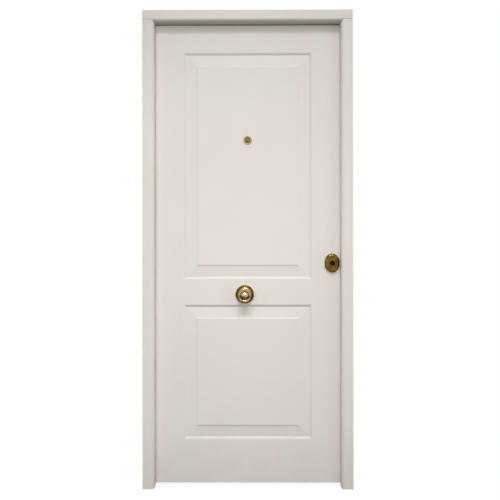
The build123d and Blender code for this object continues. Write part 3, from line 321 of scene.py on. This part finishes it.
def painted_knob_reflections(finish, spot, tone, radius, patches):
    """The knob's brass with a painted pale reflection on its top half, a painted highlight low on its dish
    and a painted dark reflection below the middle of its dome.
    """
    level = finish.split(spot)[2] - KNOB_AXIS[1]
    top = finish.rise(level, *TOP_REFLECTION_LEVEL) * finish.rise(radius, *TOP_REFLECTION_RADIUS)
    dish = finish.rise(abs(radius - DISH_HIGHLIGHT_RADIUS), *DISH_HIGHLIGHT_WIDTH)
    rub_and_sheen = top + finish.rise(level, *DISH_HIGHLIGHT_LEVEL) * dish
    # Painted reflection on the top half and painted highlight low on the dish
    tone = finish.mix(rub_and_sheen * (patches * 0.5 + 0.65), tone, BRASS_PAINTED_REFLECTION)
    below = finish.rise(level, *DOME_DARK_REFLECTION_LEVEL) * finish.rise(radius, *DOME_DARK_REFLECTION_RADIUS)
    # Painted dark reflection below the middle of the dome
    return finish.mix(below * (patches * 0.6 + 0.3), tone, BRASS_DIRT_AND_DARK_REFLECTION)


def brass(name, tones, aged, axis=None, grooves=(), rub_and_sheen=False):
    """Brass with soft patches of tarnish. Turned brass has an axis, fine rings and dirt in its grooves."""
    finish = Finish(name)
    spot = finish.spot()
    patches = finish.noise(spot, scale=38.0, detail=5.0, roughness=0.6)
    tarnish = finish.rise(patches, 0.75 - aged, 1.1 - aged)
    tone = finish.mix(tarnish, *tones)
    height = finish.noise(finish.stretched(spot, SCRATCH_STRETCH), scale=1.0)
    if axis:
        radius = finish.away_from(axis, spot)
        # The knob takes painted reflections on its top, dish and dome
        if rub_and_sheen:
            tone = painted_knob_reflections(finish, spot, tone, radius, patches)
        for inner, outer in grooves:
            middle, half = (inner + outer) / 2, (outer - inner) / 2
            dirt = finish.rise(abs(radius - middle), half, half * GROOVE_CORE)
            tone = finish.mix(dirt * GROOVE_DIRT, tone, BRASS_DIRT_AND_DARK_REFLECTION)
        rings = finish.node("ShaderNodeMath", {"operation": "SINE"}, {0: radius * TURNING_RINGS})
        height = rings * 0.4 + height
    return finish.principled(
        Base_Color=tone,
        Metallic=1.0,
        Roughness=tarnish * 0.14 + finish.noise(spot, scale=160.0, detail=3.0) * 0.10 + 0.10,
        Normal=finish.bump(height, 0.00001, strength=0.35),
    )


# Steel, as (bright, dull), and the other colours
ZINC = ((0.62, 0.62, 0.60, 1), (0.42, 0.42, 0.41, 1))
NICKEL = ((0.74, 0.71, 0.65, 1), (0.55, 0.52, 0.46, 1))
WORN_NICKEL = ((0.20, 0.18, 0.15, 1), (0.07, 0.062, 0.05, 1))
GALVANISED = ((0.60, 0.61, 0.62, 1), (0.44, 0.45, 0.46, 1))
BRUSHED_STRETCH = (60.0, 60.0, 700.0)
CRYSTAL_SCALE = 90.0
RUBBER = (0.012, 0.012, 0.012, 1)
RUBBER_BLOOM = (0.05, 0.05, 0.048, 1)
BLACK_STEEL = (0.0012, 0.0012, 0.0012, 1)
BLACK_STEEL_RUBBED = (0.006, 0.006, 0.006, 1)
LENS = (0.66, 0.68, 0.68, 1)
LENS_RIM = (0.26, 0.29, 0.27, 1)
LENS_RIM_RADIUS = (0.003, 0.0085)
LENS_INDEX = 1.5
DARK_FLAKE = (0.50, 0.34, 0.19, 1)
PALE_FLAKE = (0.74, 0.58, 0.38, 1)


def plated(name, bright, dull, roughness, bloom=0.0):
    """Plated or galvanised steel, brushed one way, with a crystalline bloom where it has one."""
    finish = Finish(name)
    spot = finish.spot()
    lines = finish.noise(finish.stretched(spot, BRUSHED_STRETCH), scale=1.0, detail=3.0)
    share = finish.rise(lines, 0.35, 0.7)
    if bloom:
        share = share * 0.4 + finish.cells(spot, bloom) * 0.6
    return finish.principled(
        Base_Color=finish.mix(share, bright, dull),
        Metallic=1.0,
        Roughness=share * 0.15 + roughness,
        Normal=finish.bump(lines, 0.00002, strength=0.3),
    )


def rubber(name):
    """Matt black extruded rubber with a faint bloom."""
    finish = Finish(name)
    spot = finish.spot()
    bloom = finish.noise(spot, scale=70.0, detail=4.0)
    return finish.principled(
        Base_Color=finish.mix(bloom, RUBBER, RUBBER_BLOOM),
        Roughness=bloom * 0.2 + 0.55,
        Normal=finish.bump(finish.noise(spot, scale=900.0), 0.00005, strength=0.4),
    )


def blackened(name):
    """Oil-blackened hardened steel with worn patches."""
    finish = Finish(name)
    spot = finish.spot()
    rub_and_sheen = finish.rise(finish.noise(spot, scale=240.0, detail=4.0), 0.5, 0.8)
    return finish.principled(
        Base_Color=finish.mix(rub_and_sheen, BLACK_STEEL, BLACK_STEEL_RUBBED),
        Metallic=1.0,
        Roughness=0.42 - rub_and_sheen * 0.12,
        Normal=finish.bump(rub_and_sheen, 0.00002, strength=0.3),
    )


def glass(name):
    """The coated lens of the peephole, darker and greener at its rim."""
    finish = Finish(name)
    spot = finish.spot()
    rim = finish.rise(finish.away_from(PEEPHOLE_AXIS, spot), *LENS_RIM_RADIUS)
    return finish.principled(
        Base_Color=finish.mix(rim, LENS, LENS_RIM),
        Roughness=finish.noise(spot, scale=300.0) * 0.03 + 0.01,
        Transmission_Weight=1.0,
        IOR=LENS_INDEX,
    )


def chipboard(name):
    """Pressed wood flakes of the core."""
    finish = Finish(name)
    spot = finish.spot()
    share = finish.cells(spot, scale=260.0) * 0.7 + finish.noise(spot, scale=40.0, detail=4.0) * 0.3
    return finish.principled(
        Base_Color=finish.mix(share, DARK_FLAKE, PALE_FLAKE),
        Roughness=share * 0.2 + 0.6,
        Normal=finish.bump(share, 0.0002, strength=0.5),
    )


# Finishes of the slots, and of the nodes that differ from their slot
leaf_lacquer = lacquer("leaf_lacquer")
outer_lacquer = lacquer("outer_lacquer", seal_shaded=True)
# The frame's undersides take a stronger painted shade
frame_lacquer = lacquer("frame_lacquer", seams=True, underside_shade_share=FRAME_UNDERSIDE_SHADE)
edge_lacquer = lacquer("edge_lacquer", grain=EDGE_GRAIN)
knob_brass = brass("knob_brass", KNOB_BRASS, aged=0.5, axis=KNOB_AXIS, grooves=KNOB_GROOVES, rub_and_sheen=True)
peephole_brass = brass("peephole_brass", PEEPHOLE_BRASS, aged=0.25, axis=PEEPHOLE_AXIS, grooves=(LENS_BORE,))
escutcheon_brass = brass("escutcheon_brass", ESCUTCHEON_BRASS, aged=0.54)
lever_brass = brass("lever_brass", INDOOR_BRASS, aged=0.35, axis=LEVER_AXIS)
eyepiece_brass = brass("eyepiece_brass", INDOOR_BRASS, aged=0.36, axis=PEEPHOLE_AXIS)
SLOT_FINISHES = {
    "white_lacquer": leaf_lacquer,
    "core_timber": edge_lacquer,
    "sheet_steel": plated("galvanised_sheet", *GALVANISED, roughness=0.35, bloom=CRYSTAL_SCALE),
    "seal_rubber": rubber("seal_rubber"),
    "lens_glass": glass("coated_glass"),
    "black_steel": blackened("blackened_steel"),
    "nickel": plated("nickel_plate", *NICKEL, roughness=0.16),
    "brass": brass("indoor_brass", INDOOR_BRASS, aged=0.36),
    "zinc_steel": plated("zinc_plate", *ZINC, roughness=0.28),
}
NODE_FINISHES = {
    "outer_board": outer_lacquer,
    "lock_jamb": frame_lacquer,
    "hinge_jamb": frame_lacquer,
    "frame_head": frame_lacquer,
    "core_board": chipboard("core_chipboard"),
    "outer_escutcheon": escutcheon_brass,
    "cylinder_plug": plated("worn_nickel", *WORN_NICKEL, roughness=0.3),
    "door_knob": knob_brass,
    "knob_rosette": knob_brass,
    "peephole_barrel": peephole_brass,
    "peephole_eyepiece": eyepiece_brass,
    "peephole_cover": eyepiece_brass,
    "lever_handle": lever_brass,
    "lever_rosette": lever_brass,
}
for name, slot in slots.items():
    nodes[name].data.materials.clear()
    nodes[name].data.materials.append(NODE_FINISHES.get(name, SLOT_FINISHES[slot]))


# Countersunk cross-head screws, their shapes as shares of head, sink or length
RIM_SHARE = 0.16
POINT_SHARE = 0.18
POINT_BLUNT_SHARE = 0.08
SLOT_WIDTH_SHARE = 0.30
SLOT_REACH_SHARE = 1.25
SLOT_DEPTH_SHARE = 0.75
SLOT_TAPER_SHARE = 0.55
SCREW_SIDES = 32
SCREW_TURN = 0.7
END_FACING = 0.9
SMOOTH_ANGLE = math.radians(35)

# Shank radius and sink of the head for each kind of screw, in metres
HINGE_SCREW = (0.0025, 0.0025)
STRIKE_SCREW = (0.0022, 0.0020)
FOREND_SCREW = (0.0022, 0.0022)
CYLINDER_SCREW = (0.0024, 0.0020)
ESCUTCHEON_SCREW = (0.0025, 0.0025)
CORNER_SCREW = (0.003, 0.003)
CORNER_SCREW_HEAD = 0.006
HINGE_LEVELS = (0.240, 1.025, 1.810)
HINGE_SCREW_PITCH = 0.040


def choose(piece, test):
    """Selects the faces that pass the test, and leaves the piece in edit mode."""
    bpy.ops.object.mode_set(mode="EDIT")
    bpy.ops.mesh.select_mode(type="FACE")
    bpy.ops.mesh.select_all(action="DESELECT")
    bpy.ops.object.mode_set(mode="OBJECT")
    for face in piece.data.polygons:
        face.select = test(face)
    bpy.ops.object.mode_set(mode="EDIT")


def push(distance, scale=1.0):
    """Extrudes the chosen faces along Z and scales their far end about the Z axis."""
    bpy.ops.mesh.extrude_region_move(TRANSFORM_OT_translate={"value": (0, 0, distance)})
    bpy.ops.transform.resize(value=(scale, scale, 1), center_override=(0, 0, 0))


def slot_cutter(head, sink):
    """One arm of the cross recess, narrower towards its bottom."""
    bpy.ops.object.select_all(action="DESELECT")
    bpy.ops.mesh.primitive_cube_add(size=1)
    cutter = bpy.context.object
    cutter.scale = (head * SLOT_REACH_SHARE, head * SLOT_WIDTH_SHARE, sink * SLOT_DEPTH_SHARE * 2)
    bpy.ops.object.transform_apply(location=False, rotation=False, scale=True)
    choose(cutter, lambda face: face.normal.z < -END_FACING)
    bpy.ops.transform.resize(value=(SLOT_TAPER_SHARE, SLOT_TAPER_SHARE, 1), center_override=(0, 0, 0))
    bpy.ops.object.mode_set(mode="OBJECT")
    return cutter


def cross_head_screw(kind, head, length):
    """A screw with the top of its head at the origin and its point down."""
    shank, sink = kind
    rim, point = sink * RIM_SHARE, length * POINT_SHARE
    straight = length - sink - point
    bpy.ops.object.select_all(action="DESELECT")
    bpy.ops.mesh.primitive_cylinder_add(vertices=SCREW_SIDES, radius=shank, depth=straight)
    screw = bpy.context.object
    screw.location.z = -sink - straight / 2
    bpy.ops.object.transform_apply(location=True, rotation=False, scale=False)
    choose(screw, lambda face: face.normal.z > END_FACING)
    push(sink - 2 * rim, head / shank)
    push(rim)
    push(rim, 1 - rim / head)
    choose(screw, lambda face: face.normal.z < -END_FACING)
    push(-point, POINT_BLUNT_SHARE)
    bpy.ops.object.mode_set(mode="OBJECT")
    cutter = slot_cutter(head, sink)
    for turn in (0, math.pi / 2):
        cutter.rotation_euler.z = turn
        bpy.ops.object.select_all(action="DESELECT")
        bpy.context.view_layer.objects.active = screw
        cut = screw.modifiers.new("cross", "BOOLEAN")
        cut.operation = "DIFFERENCE"
        cut.object = cutter
        bpy.ops.object.modifier_apply(modifier=cut.name)
    bpy.data.objects.remove(cutter)
    screw.select_set(True)
    bpy.ops.object.shade_smooth_by_angle(angle=SMOOTH_ANGLE)
    return screw


def drive_screws(node, body, facing, spots, kind, head, length):
    """Drives one screw into each spot, as one piece that stands for the node."""
    pattern = cross_head_screw(kind, head, length)
    upright = Vector(facing).to_track_quat("Z", "X").to_matrix().to_4x4()
    copies = []
    for number, spot in enumerate(spots):
        copy = pattern.copy()
        copy.data = pattern.data.copy()
        turned = Matrix.Rotation(number * SCREW_TURN, 4, "Z")
        copy.matrix_world = Matrix.Translation(spot) @ upright @ turned
        bpy.context.scene.collection.objects.link(copy)
        copies.append(copy)
    bpy.data.objects.remove(pattern)
    bpy.ops.object.select_all(action="DESELECT")
    for copy in copies:
        copy.select_set(True)
    bpy.context.view_layer.objects.active = copies[0]
    bpy.ops.object.join()
    piece = bpy.context.object
    bpy.ops.object.transform_apply(location=True, rotation=True, scale=True)
    piece.name = f"cross_head_{node}"
    piece.data.materials.append(nodes[node].data.materials[0])
    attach(piece, body)
    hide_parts(node)


hinge_levels = [level + step * HINGE_SCREW_PITCH for level in HINGE_LEVELS for step in (-1, 0, 1)]
low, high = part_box("hinge_frame_screws")
across = (low.y + high.y) / 2
head = (high.y - low.y) / 2
spots = [(high.x, across, z) for z in hinge_levels]
drive_screws("hinge_frame_screws", "frame", (1, 0, 0), spots, HINGE_SCREW, head, high.x - low.x)
low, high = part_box("hinge_leaf_screws")
head = (high.y - low.y) / 2
spots = [(low.x, across, z) for z in hinge_levels]
drive_screws("hinge_leaf_screws", "leaf", (-1, 0, 0), spots, HINGE_SCREW, head, high.x - low.x)
for node, body, way, kind in (
    ("strike_plate_screws", "frame", -1, STRIKE_SCREW),
    ("forend_screws", "leaf", 1, FOREND_SCREW),
    ("cylinder_screw", "leaf", 1, CYLINDER_SCREW),
):
    low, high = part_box(node)
    head = (high.y - low.y) / 2
    levels = sorted({round(low.z + head, 5), round(high.z - head, 5)})
    face = high.x if way > 0 else low.x
    spots = [(face, (low.y + high.y) / 2, z) for z in levels]
    drive_screws(node, body, (way, 0, 0), spots, kind, head, high.x - low.x)
low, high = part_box("escutcheon_screws")
head = (high.x - low.x) / 2
spots = [((low.x + high.x) / 2, high.y, z) for z in (low.z + head, high.z - head)]
drive_screws("escutcheon_screws", "leaf", (0, 1, 0), spots, ESCUTCHEON_SCREW, head, high.y - low.y)
low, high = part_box("frame_corner_screws")
head = CORNER_SCREW_HEAD
spots = [(x, y, high.z) for x in (low.x + head, high.x - head) for y in (low.y + head, high.y - head)]
drive_screws("frame_corner_screws", "frame", (0, 0, 1), spots, CORNER_SCREW, head, high.z - low.z)


# Hairpin spring, which bears on the case's back wall; here a smoothed copy riding with the leaf, not
# squeezed as the latch draws in
WELD_DISTANCE = 0.000001


def hairpin_spring():
    """A copy of the spring's own solid, welded, smoothed and riding with the leaf."""
    strip = bpy.data.objects.new("hairpin_latch_spring", nodes["latch_spring"].data.copy())
    bpy.context.scene.collection.objects.link(strip)
    bpy.ops.object.select_all(action="DESELECT")
    strip.select_set(True)
    bpy.context.view_layer.objects.active = strip
    bpy.ops.object.mode_set(mode="EDIT")
    bpy.ops.mesh.select_all(action="SELECT")
    bpy.ops.mesh.remove_doubles(threshold=WELD_DISTANCE)
    bpy.ops.object.mode_set(mode="OBJECT")
    bpy.ops.object.shade_smooth_by_angle(angle=SMOOTH_ANGLE)
    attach(strip, "leaf")
    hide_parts("latch_spring")
    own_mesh(strip)


hairpin_spring()


# Lamps, out of the camera's sight
KEY_WATTS = 3.5
OVERHEAD_WATTS = 8.7
FRONT_WATTS = 20.5
FLANK_WATTS = 18.0
REAR_WATTS = 130.0
SIDE_WATTS = 48.0
STRIP_SPREAD = 50
PANEL_SPREAD = 180
LEAF_FOOT = (0, 0, 0.15)


def lamp(name, place, aim, size, watts, spread=PANEL_SPREAD, mirrored=True):
    """A rectangular lamp, mirrored in shiny surfaces or not. Its spread is in degrees."""
    data = bpy.data.lights.new(name, "AREA")
    data.shape = "RECTANGLE"
    data.size, data.size_y = size
    data.energy = watts
    data.spread = math.radians(spread)
    made = bpy.data.objects.new(name, data)
    made.location = place
    made.rotation_euler = (Vector(aim) - Vector(place)).to_track_quat("-Z", "Y").to_euler()
    made.visible_camera = False
    made.visible_glossy = mirrored
    bpy.context.scene.collection.objects.link(made)


def bank(name, count, pitch, middle, size, watts):
    """A row of equal strips side by side along X, all aimed at the foot of the leaf."""
    for number in range(count):
        place = (middle[0] + (number - (count - 1) / 2) * pitch, *middle[1:])
        lamp(f"{name}_{number}", place, LEAF_FOOT, size, watts / count, STRIP_SPREAD)


bank("key_strip", count=7, pitch=0.7, middle=(0.35, -5.0, 4.2), size=(0.3, 0.5), watts=KEY_WATTS)
bank("overhead_strip", count=4, pitch=0.55, middle=(0.1, -2.6, 4.3), size=(0.08, 0.8), watts=OVERHEAD_WATTS)
lamp(
    "front_panel",
    place=(-0.5, -2.4, 1.2),
    aim=(-0.5, 0, 1.2),
    size=(2.2, 0.5),
    watts=FRONT_WATTS,
    mirrored=False,
)
lamp(
    "flank_panel",
    place=(3.0, -2.4, 1.25),
    aim=(0, 0, 1.15),
    size=(0.8, 1.6),
    watts=FLANK_WATTS,
    mirrored=False,
)
for name, side in (("left_panel", -1), ("right_panel", 1)):
    lamp(
        name,
        place=(side * 3.2, 0.6, 1.6),
        aim=(side * 0.45, 0, 1.1),
        size=(1.6, 2.2),
        watts=SIDE_WATTS,
        mirrored=False,
    )
lamp("rear_panel", place=(-0.6, 4.6, 3.0), aim=(0, 0, 1.1), size=(2.4, 2.4), watts=REAR_WATTS)

# The world shows white to the camera, in mirrors and through glass, and lights the rest more dimly
WHITE = (1, 1, 1, 1)
AMBIENT = 0.33
SEEING_RAYS = ("Is Camera Ray", "Is Glossy Ray", "Is Transmission Ray")
world = bpy.data.worlds.new("studio")
bpy.context.scene.world = world
world.use_nodes = True
background = world.node_tree.nodes["Background"]
background.inputs["Color"].default_value = WHITE
path = world.node_tree.nodes.new("ShaderNodeLightPath")
seen = path.outputs[SEEING_RAYS[0]]
for way in SEEING_RAYS[1:]:
    either = world.node_tree.nodes.new("ShaderNodeMath")
    either.operation = "MAXIMUM"
    world.node_tree.links.new(seen, either.inputs[0])
    world.node_tree.links.new(path.outputs[way], either.inputs[1])
    seen = either.outputs[0]
level = world.node_tree.nodes.new("ShaderNodeMapRange")
level.inputs["To Min"].default_value = AMBIENT
world.node_tree.links.new(seen, level.inputs["Value"])
world.node_tree.links.new(level.outputs[0], background.inputs["Strength"])

# The floor shows white to the camera, with the door's shadow near it, and throws back little light
FLOOR_SIZE = 60.0
FLOOR_LEVEL = -0.0005
FLOOR_GLOW = 0.9
FLOOR_FADE = (0.8, 2.6)
FLOOR_SEEN = (0.9, 0.9, 0.9, 1)
FLOOR_UNSEEN = (0.06, 0.06, 0.059, 1)
bpy.ops.object.select_all(action="DESELECT")
bpy.ops.mesh.primitive_plane_add(size=FLOOR_SIZE, location=(0, 0, FLOOR_LEVEL))
floor = bpy.context.object
floor.name = "floor"
paint = Finish("pale_floor")
east, north, _ = paint.split(paint.spot())
reach = paint.rise((east * east + north * north) ** 0.5, *FLOOR_FADE)
rays = paint.node("ShaderNodeLightPath").socket.node.outputs
seen = sum(Socket(paint, rays[way]) for way in SEEING_RAYS)
matt = paint.node("ShaderNodeBsdfDiffuse", inputs={"Color": paint.mix(seen, FLOOR_UNSEEN, FLOOR_SEEN)})
white = paint.node("ShaderNodeEmission", inputs={"Color": WHITE, "Strength": 1.0})
shown = seen * (reach * (1 - FLOOR_GLOW) + FLOOR_GLOW)
floor.data.materials.append(
    paint.surface(paint.node("ShaderNodeMixShader", inputs={0: shown, 1: matt, 2: white}))
)

camera_data = bpy.data.cameras.new("camera")
camera_data.sensor_fit = "HORIZONTAL"
camera_data.sensor_width = SENSOR_WIDTH
camera_data.lens = FOCAL_PIXELS / PHOTO_SIDE * SENSOR_WIDTH
camera_data.shift_y = (OPTICAL_ROW - PHOTO_SIDE / 2) / PHOTO_SIDE
camera = bpy.data.objects.new("camera", camera_data)
camera.location = CAMERA_PLACE
camera.rotation_euler = [math.radians(angle) for angle in CAMERA_TURN]
bpy.context.scene.collection.objects.link(camera)
bpy.context.scene.camera = camera
bpy.context.scene.view_settings.view_transform = "Standard"
